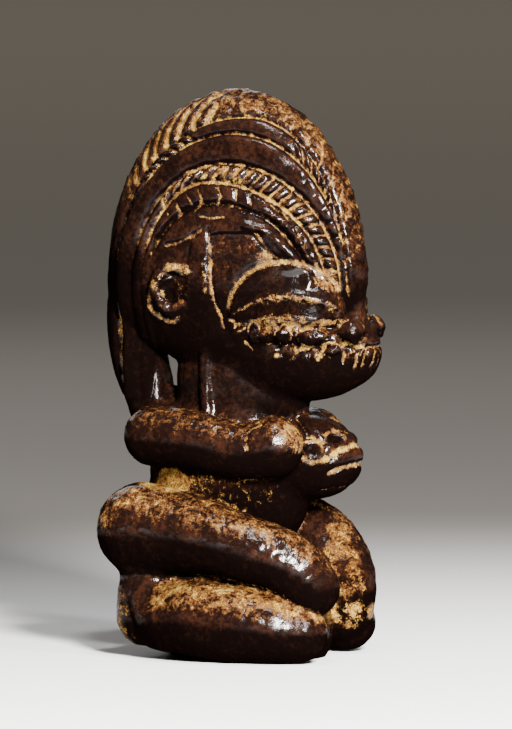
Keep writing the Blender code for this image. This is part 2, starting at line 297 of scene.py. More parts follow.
def bump(distance, width):
    """1 on a line and close to 0 from one width away."""
    return np.exp(-((1.5 * distance / width) ** 2))


def ramp(value, low, high):
    """0 below low, 1 above high, and smooth between."""
    t = np.clip((value - low) / (high - low), 0.0, 1.0)
    return t * t * (3.0 - 2.0 * t)


def smooth_path(stations, steps):
    """A Catmull-Rom curve through the stations, with steps pieces between each two."""
    stations = np.array(stations, float)
    ends = np.vstack([2 * stations[0] - stations[1], stations, 2 * stations[-1] - stations[-2]])
    path = []
    for p0, p1, p2, p3 in zip(ends[:-3], ends[1:-2], ends[2:-1], ends[3:]):
        for t in np.arange(steps) / steps:
            bend = (2 * p0 - 5 * p1 + 4 * p2 - p3) * t * t + (3 * p1 - p0 - 3 * p2 + p3) * t**3
            path.append(p1 + 0.5 * ((p2 - p0) * t + bend))
    return np.array(path + [stations[-1]])


class Egg:
    """An ellipsoid whose lower half can be shallower than its upper one."""

    side = "both"

    def __init__(self, centre, radii, under=None, blend=2.0):
        self.centre = np.array(centre, float)
        self.radii = np.array(radii, float)
        self.under = under or radii[2]
        self.blend = blend

    def distance(self, points):
        q = points - self.centre
        radii = np.where(q[:, 2:] < 0, [*self.radii[:2], self.under], self.radii)
        near = np.linalg.norm(q / radii, axis=1)
        steep = np.linalg.norm(q / radii**2, axis=1)
        return near * (near - 1.0) / np.maximum(steep, 1e-6)

    def balls(self):
        """The egg itself, as a centre, radii and the depth below the centre."""
        return [(self.centre, self.radii, self.under)]


class Limb:
    """A round limb on a smooth curve through stations of forward, side, up and radius."""

    def __init__(self, stations, blend=2.0, side="both", steps=3):
        self.path = smooth_path(stations, steps)
        self.blend = blend
        self.side = side

    def distance(self, points):
        """Exact near the limb, and FAR where the limb can't matter."""
        low = (self.path[:, :3] - self.path[:, 3:]).min(0) - FAR
        high = (self.path[:, :3] + self.path[:, 3:]).max(0) + FAR
        close = np.all((points > low) & (points < high), axis=1)
        x, y, z = points[close].T
        nearest = np.full(len(x), FAR)
        for a, b in zip(self.path[:-1], self.path[1:]):
            ax, ay, az = b[:3] - a[:3]
            px, py, pz = x - a[0], y - a[1], z - a[2]
            t = np.clip((px * ax + py * ay + pz * az) / (ax * ax + ay * ay + az * az), 0.0, 1.0)
            away = np.sqrt((px - t * ax) ** 2 + (py - t * ay) ** 2 + (pz - t * az) ** 2)
            nearest = np.minimum(nearest, away - a[3] - t * (b[3] - a[3]))
        distance = np.full(len(points), FAR)
        distance[close] = nearest
        return distance

    def balls(self):
        """Balls along the limb, close enough to leave no waist between two of them."""
        found = []
        for a, b in zip(self.path[:-1], self.path[1:]):
            count = 1 + int(np.linalg.norm(b[:3] - a[:3]) / max(0.45 * min(a[3], b[3]), 1.2))
            for t in np.linspace(0.0, 1.0, count + 1)[:-1]:
                c = a + t * (b - a)
                found.append((c[:3], np.full(3, c[3]), c[3]))
        end = self.path[-1]
        return found + [(end[:3], np.full(3, end[3]), end[3])]


print("eggs and limbs")

# %% [markdown]
# ## Head, body and legs
# The masses come in the order in which a carver would free them. The head is half of the height, as on the
# real figure, and the left knee stands a little higher than the right one.


# %% The masses
def head_forms():
    crown = Egg((-0.9, 0, 133.5), (47.0, 25.0, 65.0), under=34, blend=3)
    queue = Limb([(-38.6, 0, 130, 9.6), (-39.2, 0, 118, 9.7), (-38.6, 0, 109, 9.5), (-36.8, 0, 101, 9.3),
                  (-34.0, 0, 93, 9.0), (-30.5, 0, 84, 9.5)], blend=2)
    face = Egg((8, 0, 121), (35, 21.5, 26), blend=3)
    jaw = Egg((21.5, 0, 107.5), (30.5, 20, 17.5), blend=3)
    bridge = Limb([(38.5, 0, 134, 5.5), (39.8, 0, 124, 5.5), (42, 0, 117.5, 5)], blend=2)
    eye = Egg((23.4, 12, 120.5), (19.5, 13.2, 18.6), under=5, blend=0.8)
    nostril = Egg((43.6, 9.4, 115.6), (5.6, 5.4, 4.8), blend=0.5)
    cheek = Limb([(13, 19.5, 113.5, 2.5), (23, 19.8, 115.5, 3.6), (33, 17.2, 114.3, 3.8),
                  (38.5, 13.5, 112, 2.8)], blend=1.0)
    lip = Limb([(33, 15.8, 106.5, 2.2), (40.5, 12.5, 109.3, 3.0), (46.2, 5.5, 110, 2.6),
                (47.4, 0, 110, 2.4)], blend=0.8)
    return [crown, queue, face, jaw, bridge, eye, nostril, cheek, lip, ear(), sidelock()]


def ear():
    """The ear's rim, a C open to the front."""
    rim = []
    for degrees in range(50, 311, 26):
        turn = math.radians(degrees)
        rim.append((-17.0 + 6.0 * math.cos(turn), 22.0, 130.2 + 8.2 * math.sin(turn), 2.2))
    return Limb(rim, blend=0.6, steps=2)


def sidelock():
    """The lock that hangs before the ear."""
    return Limb([(-5.6, 22.0, 152, 1.4), (-6.2, 22.4, 143, 2.1), (-6.0, 21.8, 131, 2.3),
                 (-4.0, 20.0, 119, 2.0)], blend=1.0)


def body_forms():
    neck = Egg((1.5, 0, 96), (24.3, 17, 36), blend=2)
    arris = Limb([(-6.8, 15.2, 112, 2.0), (-7.0, 15.6, 99, 2.2), (-6.2, 16.6, 87, 2.2)], blend=1.5)
    torso = Egg((-3, 0, 64), (29.5, 22, 34), blend=3)
    shoulders = Limb([(-25, 18, 78, 10), (-26, 9, 79, 9), (-26, 0, 79, 8.5)], blend=3)
    arm = Limb([(-24.6, 20, 78, 10.5), (-8, 23, 77, 10.4), (8, 23.3, 73.8, 9.6), (20, 21, 75.5, 10.8)],
               blend=1.5)
    hands = Egg((25, 0, 70.3), (20.3, 15.5, 15), blend=3.0)
    return [neck, arris, torso, shoulders, arm, hands]


def leg_forms():
    right_thigh = Limb([(-28.6, 19.5, 45.0, 16.6), (-8, 24, 44, 13.5), (10, 26, 40, 12), (26, 24, 34.5, 11.5),
                        (34.0, 21.5, 26.5, 10.3)], blend=1.0, side="right")
    left_thigh = Limb([(-28.6, 19.5, 45.0, 16.6), (-8, 23, 46, 14), (10, 23, 44, 13.5),
                       (23.5, 21, 37.5, 13.0), (30.5, 20, 27, 12.3), (30.5, 20.5, 15.5, 11.5)],
                      blend=1.0, side="left")
    shin = Limb([(-14, 28, 14.5, 11), (-4, 29.5, 15, 13.2), (8, 29.5, 14, 13.2), (22, 28, 12.5, 12),
                 (31, 25, 10.7, 10.2)], blend=1.0)
    foot = Limb([(-20, 22, 14, 11.5), (-27.6, 20, 24, 10), (-28.5, 19.5, 14, 9.8)], blend=4.5)
    rump = Egg((-24, 0, 44), (18.5, 27, 17), blend=4)
    seat = Egg((-2, 0, 20), (34, 27, 27), blend=3)
    ankles = Egg((18, 0, 8), (15, 22, 14), blend=2)
    return [right_thigh, left_thigh, shin, foot, rump, seat, ankles]


FORMS = head_forms() + body_forms() + leg_forms()
print(len(FORMS), "masses")

# %% [markdown]
# ## A slot behind the neck
# Light shows between the nape and the queue that hangs down the back, so the carver cut right through there.
# The slot is an upright ellipse in side view, taken away from the joined masses. Everything that follows asks
# one function how far a point is from the stone, and the slope of that distance says which way is out.


# %% Slot, and distance to the stone
SLOT_CENTRE = (-25.1, 98.0)
SLOT_HALF_WIDTH = 2.3
SLOT_HALF_HEIGHT = 8.0


def slot_distance(points):
    """Distance to the open slot between the nape and the queue, which runs right through."""
    forward, height = points[:, 0] - SLOT_CENTRE[0], points[:, 2] - SLOT_CENTRE[1]
    near = np.hypot(forward / SLOT_HALF_WIDTH, height / SLOT_HALF_HEIGHT)
    steep = np.hypot(forward / SLOT_HALF_WIDTH**2, height / SLOT_HALF_HEIGHT**2)
    return near * (near - 1.0) / np.maximum(steep, 1e-6)


def stone(points):
    """Signed distance to the masses, before the fine carving."""
    folded = points * [1, 0, 1] + np.abs(points) * [0, 1, 0]
    seen_from = {"both": folded, "right": points, "left": points * [1, -1, 1]}
    distance = FORMS[0].distance(folded)
    for form in FORMS[1:]:
        distance = smooth_union(distance, form.distance(seen_from[form.side]), form.blend)
    return np.maximum(distance, -slot_distance(points))


def probe(points, reach=0.12):
    """The distance, and the direction in which it grows fastest, from four corners round each point."""
    corners = np.array([[1, 1, 1], [1, -1, -1], [-1, 1, -1], [-1, -1, 1]], float)
    distances = [stone(points + corner * reach) for corner in corners]
    slope = sum(away[:, None] * corner for away, corner in zip(distances, corners))
    return sum(distances) / 4, slope / np.maximum(np.linalg.norm(slope, axis=1), 1e-9)[:, None]


print("slot at", SLOT_CENTRE)

# %% [markdown]
# ## One skin
# A real stone has one continuous surface. Every mass is first set down as plain balls, a voxel remesh welds
# them into one even skin, and then each corner of that skin slides onto the exact blended form. Remeshing
# keeps the cells the same size all over, so fine carving can be cut anywhere.


# %% Balls, remesh and settling
SKIN_CELL = 0.62
SETTLE_STEPS = 3


def to_figure(points):
    """World axes to forward, side and up, and back: the same turn does both."""
    return np.stack([-points[:, 1], -points[:, 0], points[:, 2]], 1)


def unit_ball(subdivisions):
    """An icosphere of radius 1 as arrays of corners and triangles."""
    bm = bmesh.new()
    bmesh.ops.create_icosphere(bm, subdivisions=subdivisions, radius=1)
    corners = np.array([vert.co[:] for vert in bm.verts])
    triangles = np.array([[vert.index for vert in face.verts] for face in bm.faces])
    bm.free()
    return corners, triangles


def rough_mesh():
    """Every mass as balls and eggs in one mesh."""
    coarse, fine = unit_ball(3), unit_ball(5)
    corners, triangles, count = [], [], 0
    for form in FORMS:
        for centre, radii, under in form.balls():
            shape, faces = fine if radii[2] > 12 else coarse
            ball = shape * radii
            ball[:, 2] = np.where(ball[:, 2] < 0, ball[:, 2] * under / radii[2], ball[:, 2])
            sides = {"both": (1, -1), "right": (1,), "left": (-1,)}[form.side]
            for side in sides[:1] if centre[1] == 0 else sides:
                corners.append(ball + centre * [1, side, 1])
                triangles.append(faces[:, ::-1] + count)
                count += len(ball)
    mesh = bpy.data.meshes.new("rough")
    mesh.from_pydata(to_figure(np.concatenate(corners)).tolist(), [], np.concatenate(triangles).tolist())
    mesh.update()
    return mesh


def after_modifier(obj, kind, **settings):
    """The object's mesh after one modifier, which is then taken off."""
    modifier = obj.modifiers.new(kind, kind)
    for name, value in settings.items():
        setattr(modifier, name, value)
    graph = bpy.context.evaluated_depsgraph_get()
    mesh = bpy.data.meshes.new_from_object(obj.evaluated_get(graph))
    obj.modifiers.clear()
    return mesh


def corner_array(mesh):
    """Every corner of a mesh, as one array."""
    flat = np.zeros(len(mesh.vertices) * 3, np.float32)
    mesh.vertices.foreach_get("co", flat)
    return flat.reshape(-1, 3).astype(float)


figure = bpy.data.objects.new("carved_figure", rough_mesh())
bpy.context.scene.collection.objects.link(figure)
figure.data = after_modifier(figure, "REMESH", mode="VOXEL", voxel_size=SKIN_CELL, adaptivity=0.0)
points = to_figure(corner_array(figure.data))
for settle in range(SETTLE_STEPS):
    distance, normals = probe(points)
    points -= normals * np.clip(distance, -1.5, 1.5)[:, None]
print(len(points), "corners, settled to", round(float(np.abs(distance).mean()), 4), "mm")

# %% [markdown]
# ## How the carving is kept
# Everything finer than a limb is a height over the smooth masses: cut below them or left standing. Soapstone
# is dark where hands have polished it and pale where the knife went in last, so each cut also says how much
# pale stone it shows. A third number marks the grooves, where shade is painted later and which are made dull.
# All three are kept for every corner of the skin. Noise lets each line wander in width and breaks up its
# dust.


# %% A record of cuts
def near_path(points, path):
    """Distance to a path, in as many axes as the path has."""
    nearest = np.full(len(points), 1e3)
    for a, b in zip(path[:-1], path[1:]):
        along = b - a
        t = np.clip((points - a) @ along / (along @ along), 0.0, 1.0)
        nearest = np.minimum(nearest, np.linalg.norm(points - a - t[:, None] * along, axis=1))
    return nearest


def hand_noise(points, size, octaves, seed):
    """Smooth noise around 0 whose lumps are about size across."""
    shift = Vector((seed, 1.7 * seed, -seed))
    values = [noise.fractal(Vector(point) / size + shift, 0.9, 2.1, octaves) for point in points.tolist()]
    return np.array(values)


class Carving:
    """What is cut into the skin or left standing on it, and how much pale stone that shows."""

    def __init__(self, points, normals):
        self.points = points * [1, 0, 1] + np.abs(points) * [0, 1, 0]
        self.normals = normals * [1, 0, 1] + normals * np.sign(points + 1e-9) * [0, 1, 0]
        self.height = np.zeros(len(points))
        self.pale = np.zeros(len(points))
        self.groove = np.zeros(len(points))
        self.waver = 1.0 + 0.35 * hand_noise(points, 5.0, 2, 3.0)
        self.fleck = 0.88 + 0.5 * hand_noise(points, 1.7, 2, 12.0)

    def lay(self, height, pale=0.0):
        """Adds a height everywhere, and keeps the palest value."""
        self.height += height
        self.pale = np.maximum(self.pale, pale)

    def cut(self, path, width, depth, pale, steps=4):
        """A groove along a path, given as forward and up on the side, or in all three axes."""
        path = np.array(path, float)
        if len(path) > 2:
            path = smooth_path(path, steps)
        axes = [0, 2] if path.shape[1] == 2 else [0, 1, 2]
        spot = self.points[:, axes]
        reach = 2.5 * width
        close = np.all((spot > path.min(0) - reach) & (spot < path.max(0) + reach), axis=1)
        if path.shape[1] == 2:
            close &= self.normals[:, 1] > 0.2
        away = near_path(spot[close], path)
        groove = bump(away, width * self.waver[close])
        self.height[close] -= depth * groove * self.waver[close]
        # The groove's place is kept so that shade can be painted in it later.
        if depth > 0:
            self.groove[close] = np.maximum(self.groove[close], bump(away, 1.5 * width))
        self.pale[close] = np.maximum(self.pale[close], pale * bump(away, 0.9 * width) * self.fleck[close])

    def strokes(self, rows):
        """One cut after another, each given as width, depth, share of pale stone and path."""
        for width, depth, pale, path in rows:
            self.cut(path, width, depth, pale)

    def lump(self, centre, radii, height, pale=0.0):
        """A rounded rise with a patch of pale stone, or a patch alone if height is 0."""
        inside = 1.0 - np.linalg.norm((self.points - centre) / radii, axis=1)
        self.lay(height * ramp(inside, 0.0, 0.8), pale * ramp(inside, 0.0, 0.5))

    def pearl(self, centre, radii, height):
        """A dark lump, or a hollow if height is below 0, with a pale ring cut round it."""
        away = np.linalg.norm((self.points - centre) / radii, axis=1) + 0.25 * (self.waver - 1.0)
        size = min(radii)
        ring = bump((away - 1.08) * size, 0.8)
        upper = 0.35 + 0.4 * ramp(self.points[:, 2] - centre[2], -1.0, 1.5)
        self.pale = np.maximum(self.pale, upper * ring) * (1.0 - 0.9 * ramp(1.0 - away, 0.0, 0.35))
        inside = np.clip(1.0 - away**2, 0.0, 1.0)
        self.height += height * np.sqrt(inside) - 0.6 * ring
        # A hollow is marked as a groove, so shade is painted in it later.
        if height < 0:
            self.groove = np.maximum(self.groove, ramp(inside, 0.1, 0.5))


carving = Carving(points, normals)
forward, side, height_up = carving.points.T
print("carving starts on", len(points), "corners")

# %% [markdown]
# ## The coiffure's nested bands
# The hair is five nested arches on each side of the head, from the brow over the crown and down the nape.
# In side view each line is half of an ellipse that runs straight down below its centre. Between two lines
# the band swells like a roll, and on each line there is a cut, filled with pale dust.


# %% Arches and rolls
ARCH_FOOT = 130.0
HAIR_LINES = [(6.6, 36.4, 48.4, 60.2), (4.3, 39.0, 45.0, 54.2), (2.1, 39.4, 36.0, 43.9),
              (-3.2, 40.6, 26.5, 37.4), (-1.5, 33.5, 25.5, 30.0)]
ROLL_HEIGHTS = (0.8, 1.9, 0.7, 0.5)
ROLL_LEANS = (1.3, 2.4, 1.0, 1.0)
EYE_CENTRE = (24.0, 120.5)
EYE_RADII = (19.3, 18.8)
EYE_MEAN_RADIUS = 19.0


def arch(points, normals, line):
    """Distance along the skin to a hair line, above 0 outside it."""
    centre, front, rear, top = line
    f, z = points[:, 0] - centre, np.maximum(points[:, 2] - ARCH_FOOT, 0.0)
    reach = np.where(f > 0, front, rear)
    near = np.hypot(f / reach, z / top)
    steep = np.maximum(np.hypot(f / reach**2, z / top**2), 1e-6)
    across = (f / reach**2 * normals[:, 0] + z / top**2 * normals[:, 2]) / steep
    slant = np.sqrt(np.clip(1.0 - across**2, 0.09, 1.0))
    return near * (near - 1.0) / steep / slant


def eye_outline(points):
    """Distance outside the eye's dome, in the side plane."""
    f, z = points[:, 0] - EYE_CENTRE[0], points[:, 2] - EYE_CENTRE[1]
    return (np.hypot(f / EYE_RADII[0], z / EYE_RADII[1]) - 1.0) * EYE_MEAN_RADIUS


def hairline(points):
    """The height of the hair's lower edge over the temple."""
    f = points[:, 0]
    return 150.5 - 1.15 * np.maximum(f - 13.0, 0.0) - 0.05 * np.maximum(2.0 - f, 0.0) ** 2


def hair_mask(points):
    """1 on the hair, 0 on the temple, the eye and the face."""
    f, z = points[:, 0], points[:, 2]
    brow = ramp(eye_outline(points), 0.6, 2.0)
    above = ramp(z - hairline(points), -0.4, 0.6)
    behind = ramp(-8.0 - f, -0.6, 0.6)
    return np.maximum(above, behind) * brow * np.maximum(ramp(z, 108, 114), ramp(-26 - f, -1, 1))


lines = [arch(carving.points, carving.normals, line) for line in HAIR_LINES]
hair = hair_mask(carving.points) * ramp(height_up, 86, 93)
rolls = 0.5 * ramp(lines[0], 0.0, 2.5)
for outer, inner, rise, towards_outer in zip(lines[:-1], lines[1:], ROLL_HEIGHTS, ROLL_LEANS):
    across = np.clip(inner / np.maximum(inner - outer, 0.5), 0.0, 1.0) ** towards_outer
    rolls += rise * np.sqrt(4 * across * (1 - across)) * (outer < 0) * (inner > 0)
carving.lay(rolls * hair)
uneven = 0.95 + 0.35 * hand_noise(points, 11.0, 2, 71.0)
for number, line in enumerate(lines):
    keep = 1.0 if number < 2 else np.maximum(ramp(height_up, 136, 150), ramp(forward, -8, 0))
    cut = bump(line, 1.5 * carving.waver) * keep * hair
    dust = (0.86 if number < 4 else 0.5) * bump(line, 1.15 * carving.waver) * carving.fleck * uneven
    carving.lay(-1.4 * cut, dust * keep * hair)
    # Each hair line is marked as a groove, so shade is painted in it later.
    carving.groove = np.maximum(carving.groove, bump(line, 2.4) * keep * hair)
print("five lines, rolls up to", ROLL_HEIGHTS[1], "mm")

# %% [markdown]
# ## Notches on the crest
# The crest is notched like a comb at the back and left rough and pale on top, with small nicks down the brow.
# A notch is found by the angle at which a point lies round the head, so the notches fan out like spokes. The
# same angle parts the second band into lens shapes and the edge of the broad band into facets.


# %% Crest
NOTCH_START = 89.6
NOTCH_PITCH = 5.8
NICK_PITCH = 7.4
LENS_PITCH = 4.3
FACET_PITCH = 6.5
MM_PER_DEGREE = 1.05


def comb(place, pitch):
    """Distance to the nearest of a row of cuts."""
    return np.abs(np.mod(place + 0.5 * pitch, pitch) - 0.5 * pitch)


turn = np.degrees(np.arctan2(height_up - 128.0, forward + 2.0))
on_crest = ramp(lines[0], -0.2, 1.2) * ramp(height_up, 128, 134)
notch = comb(turn - NOTCH_START + 0.40 * lines[0], NOTCH_PITCH) * MM_PER_DEGREE
notched = on_crest * ramp(turn, 91, 93) * ramp(146 - turn, 0, 16)
carving.lay(-1.15 * bump(notch, 2.6) * notched, 0.95 * bump(notch, 2.9) * carving.fleck * notched)
blotch = 0.8 + 0.5 * hand_noise(points, 5.5, 2, 41.0)
carving.lay(0.0, 0.44 * blotch * on_crest * ramp(turn, 35, 62) * ramp(104 - turn, 0, 10))
carving.lay(0.0, 0.38 * blotch * on_crest * ramp(turn, 2, 25) * ramp(70 - turn, 0, 25))
carving.lay(0.65 * hand_noise(points, 4.2, 2, 9.0) * on_crest * ramp(104 - turn, 0, 10))
nick = comb(turn - 0.5 * lines[0], NICK_PITCH) * MM_PER_DEGREE
nicked = on_crest * ramp(turn, 8, 20) * ramp(76 - turn, 0, 12)
carving.lay(-0.5 * bump(nick, 1.8) * nicked, 0.70 * bump(nick, 1.5) * carving.fleck * nicked)
in_second = ramp(lines[1], 0.1, 0.8) * ramp(-lines[0], 0.1, 0.8) * ramp(turn, 14, 22)
segmented = in_second * np.maximum(ramp(66 - turn, 0, 8), ramp(turn, 96, 104) * ramp(128 - turn, 0, 8))
lens = comb(turn - 1.1 * lines[1], LENS_PITCH)
carving.lay((1.0 - 1.6 * bump(lens, 1.3)) * segmented, 0.75 * bump(lens, 1.0) * segmented)
beside = ramp(-lines[1], 0.3, 1.0) * ramp(4.2 + lines[1], 0.0, 1.5)
beside *= ramp(turn, 18, 24) * ramp(60 - turn, 0, 6)
carving.lay((0.35 - 0.8 * bump(comb(turn, FACET_PITCH), 1.6)) * beside)
print("crest notched every", NOTCH_PITCH, "degrees")

# %% [markdown]
# ## The plait and the angle marks
# The fourth band is a plait of leaf shapes, and the fifth holds a row of angle marks. A plait is a wave along
# the band: the place along the arch and the place across it are mixed, so that the cuts lean.


# %% Plait and marks
PLAIT_PITCH = 4.3
ANGLE_MARKS = [[(-20.8, 163.0), (-21.4, 160.0), (-20.8, 158.0), (-18.6, 155.6)],
               [(-15.6, 159.5), (-14.2, 156.4), (-15.8, 153.9)], [(-11.8, 162.7), (-9.7, 159.7)],
               [(-7.7, 164.4), (-5.9, 161.3), (-8.4, 157.3)], [(-0.7, 166.4), (1.1, 162.7), (-1.2, 157.8)],
               [(6.4, 164.6), (6.6, 161.0)], [(11.6, 163.7), (12.0, 159.7)],
               [(-7.1, 155.4), (-2.5, 154.9), (2.4, 155.4)]]


def along_arch(points, line):
    """How far along an arch a point is, from the front, in millimetres."""
    centre, front, rear, top = line
    turns = np.linspace(0.0, math.pi, 181)
    reach = np.where(turns < math.pi / 2, front, rear)
    steps = np.hypot(reach * np.sin(turns), top * np.cos(turns)) * (turns[1] - turns[0])
    lengths = np.cumsum(steps)
    f = points[:, 0] - centre
    z = np.maximum(points[:, 2] - ARCH_FOOT, 0.0)
    own = np.arctan2(z / top, f / np.where(f > 0, front, rear))
    return np.interp(own, turns, lengths)


middle = tuple(0.5 * (a + b) for a, b in zip(HAIR_LINES[2], HAIR_LINES[3]))
share = np.clip(lines[3] / np.maximum(lines[3] - lines[2], 0.5), 0.0, 1.0)
lean = 2.0 + 3.6 * ramp(forward, 26, -4)
plait = comb(along_arch(carving.points, middle) + lean * share, PLAIT_PITCH)
in_plait = (ramp(lines[3], 0.2, 0.9) * ramp(-lines[2], 0.2, 0.9) * ramp(forward, -23, -20)
            * ramp(height_up, 129, 134) * hair)
wide = 1.1 + 0.5 * ramp(forward, 22, -6)
leaf_dust = 0.62 - 0.40 * ramp(forward, -2, 14)
cut_dust = 0.15 + 0.65 * ramp(forward, -6, 8)
plait_cut = bump(plait, wide)
carving.lay((0.60 - 1.55 * plait_cut) * in_plait,
            (leaf_dust * (1 - plait_cut) + cut_dust * bump(plait, 0.9 * wide)) * carving.fleck * in_plait)
for mark in ANGLE_MARKS:
    carving.cut(mark, width=0.9, depth=0.6, pale=0.85, steps=1)
print("plait and", len(ANGLE_MARKS), "marks")

# %% [markdown]
# ## Front plaits, sidelock and temple
# In front, three thin plaits run from the arches to the bridge of the nose. The temple is sunk between them
# and a lock that hangs before the ear. These are single strokes of the knife, so each is a short path. A
# stroke with a depth below 0 is left standing.

# %% Strokes round the temple
BARBS = 7
carving.strokes([
    (2.3, -1.25, 0.0, [(9.5, 152.8), (17.5, 150.5), (24.5, 144.5), (30.0, 137.8), (33.0, 133.0)]),
    (2.3, -1.1, 0.0, [(12.0, 157.8), (19.5, 156.0), (26.5, 150.2), (32.0, 142.0), (36.5, 134.5)]),
    (1.5, 1.0, 0.55, [(14.3, 149.6), (18.5, 144.2), (22.7, 139.6)]),
    (1.0, 0.75, 0.6, [(14.5, 157.6), (22.4, 150.6), (28.5, 143.5), (31.5, 138.8)]),
    (1.0, 0.7, 0.6, [(19.0, 159.6), (24.1, 155.6), (28.9, 149.0), (32.9, 141.4), (35.5, 136.5)])])
for barb in range(BARBS):
    start = np.array([18.5 + 2.3 * barb, 155.4 - 2.7 * barb])
    carving.cut([start, start + [2.6, 0.9]], 0.8, 0.4, 0.5)
carving.strokes([
    (1.1, 0.9, 0.8, [(-3.1, 151.0), (-2.6, 144.0), (-2.4, 137.0), (-1.5, 126.5), (0.6, 121.0), (1.4, 115.8)]),
    (1.4, -0.6, 0.6, [(-5.0, 140.5), (-4.2, 134.0), (-3.8, 129.0)]),
    (1.3, 0.8, 0.75, [(-19.7, 144.8), (-12.6, 146.7), (-5.7, 150.7)]),
    (0.9, 0.5, 0.4, [(-9.6, 146.5), (-10.4, 141.0), (-9.8, 136.7)]),
    (1.0, 0.5, 0.4, [(-19.0, 150.5), (-23.5, 146.5), (-26.0, 141.0)])])
sunk = (ramp(forward, -3.0, -1.4) * ramp(hairline(carving.points) - height_up, 0.0, 1.2)
        * ramp(height_up, 110, 120) * ramp(eye_outline(carving.points), 0.0, 1.5) * ramp(side, 8, 12))
carving.lay(-1.1 * sunk, 0.18 * sunk)
print("temple, with", BARBS, "barbs on the front plait")

# %% [markdown]
# ## Ear
# The ear is a worn C with a hollow in it. Its rim has lost its edge in places and shows pale stone there, so
# the rim's height and its dust are both broken up by noise.

# %% Ear and small swellings
shell = np.hypot((forward + 15.5) / 5.0, (height_up - 130.0) / 6.5) + 0.22 * hand_noise(points, 4.5, 2, 27.0)
carving.lay(-1.1 * ramp(1.0 - shell, 0.0, 0.5) * ramp(side, 16, 20))
rim = bump(shell - 1.15, 0.45) * ramp(side, 19, 22)
rim *= ramp(145 - height_up, 0, 4) * ramp(-7.5 - forward, 0, 1.5)
rim *= np.maximum(ramp(-15.5 - forward, 0, 2), ramp(height_up - 133, 0, 2))
patchy = ramp(hand_noise(points, 4.0, 2, 33.0), -0.25, 0.25)
carving.lay(2.0 * hand_noise(points, 3.6, 3, 14.0) * rim, 0.66 * rim * patchy)
carving.cut([(-10.0, 138.0), (-18.2, 136.5), (-23.0, 131.5), (-26.1, 125.6), (-24.5, 121.4), (-19.0, 118.6),
             (-15.2, 119.6)], 2.6, -0.8, 0.66)
in_ear = ramp(1.35 - shell, 0.0, 0.5) * ramp(side, 16, 20)
carving.lay(0.8 * hand_noise(points, 2.6, 2, 61.0) * in_ear, 0.24 * in_ear)
carving.lump((-12.0, 24.0, 136.2), (5.0, 4.0, 2.4), 0.6, 0.5)
carving.lump((-14.5, 23.0, 127.5), (3.5, 4.0, 3.5), 1.0, 0.2)
carving.lump((17.0, 23.0, 141.0), (5.0, 5.0, 4.0), 0.0, 0.55)
carving.lump((27.6, 18.0, 152.0), (3.2, 5.0, 3.4), 1.2)
carving.lump((30.6, 18.0, 147.4), (2.8, 5.0, 3.8), 1.0)
carving.lump((26.8, 8.0, 185.5), (5.0, 5.0, 5.0), 0.8)
print("ear")

# %% [markdown]
# ## Eyes
# The eye is a half dome under the brow. Its heavy upper lid ends in an arched edge that stands out over a
# narrow slit, and the lower lid is a pale step. A ramp a fraction of a millimetre wide makes each edge.

# %% Lids and slit
LID_STEP = 1.6
upper_edge = 127.9 - 0.0165 * (forward - 25.8) ** 2
lower_edge = 121.7 - 0.0080 * (forward - 26.0) ** 2
sideways = ramp(carving.normals[:, 1], 0.2, 0.5) * ramp(side, 9, 12)
on_dome = ramp(-eye_outline(carving.points), -1.0, 0.8) * sideways
slit = ramp(upper_edge - height_up, 0.0, 0.6) * ramp(height_up - lower_edge, -0.3, 0.3)
below = ramp(lower_edge - height_up, -0.3, 0.3) * ramp(height_up, 115.5, 117.5)
lip_of_lid = bump(height_up - upper_edge - 1.0, 2.0)
lid_dust = 0.54 * carving.fleck * bump(height_up - upper_edge - 0.1, 2.4)
carving.lay((0.55 * lip_of_lid - LID_STEP * (slit + 0.35 * below)) * on_dome, lid_dust * on_dome)
carving.lay(0.0, 0.62 * carving.fleck * bump(height_up - lower_edge + 1.2, 1.9) * on_dome)
brow = bump(eye_outline(carving.points) - 0.8, 1.9) * ramp(height_up, 120, 124)
brow *= ramp(46 - forward, 0, 3) * ramp(side, 8, 12)
carving.lay(-0.8 * brow, 0.75 * brow)
carving.lump((37.5, 16.0, 133.5), (6.0, 6.0, 6.0), 0.0, 0.6)
carving.lump((26.3, 19.5, 137.4), (4.8, 4.5, 3.3), 1.0)
print("lids")

# %% [markdown]
# ## Muzzle
# Small curls are cut round the nostrils and over the cheek, and the front of the mouth shows teeth: upright
# cuts between small dark pegs. A pearl is a dark lump with a pale ring cut round it.

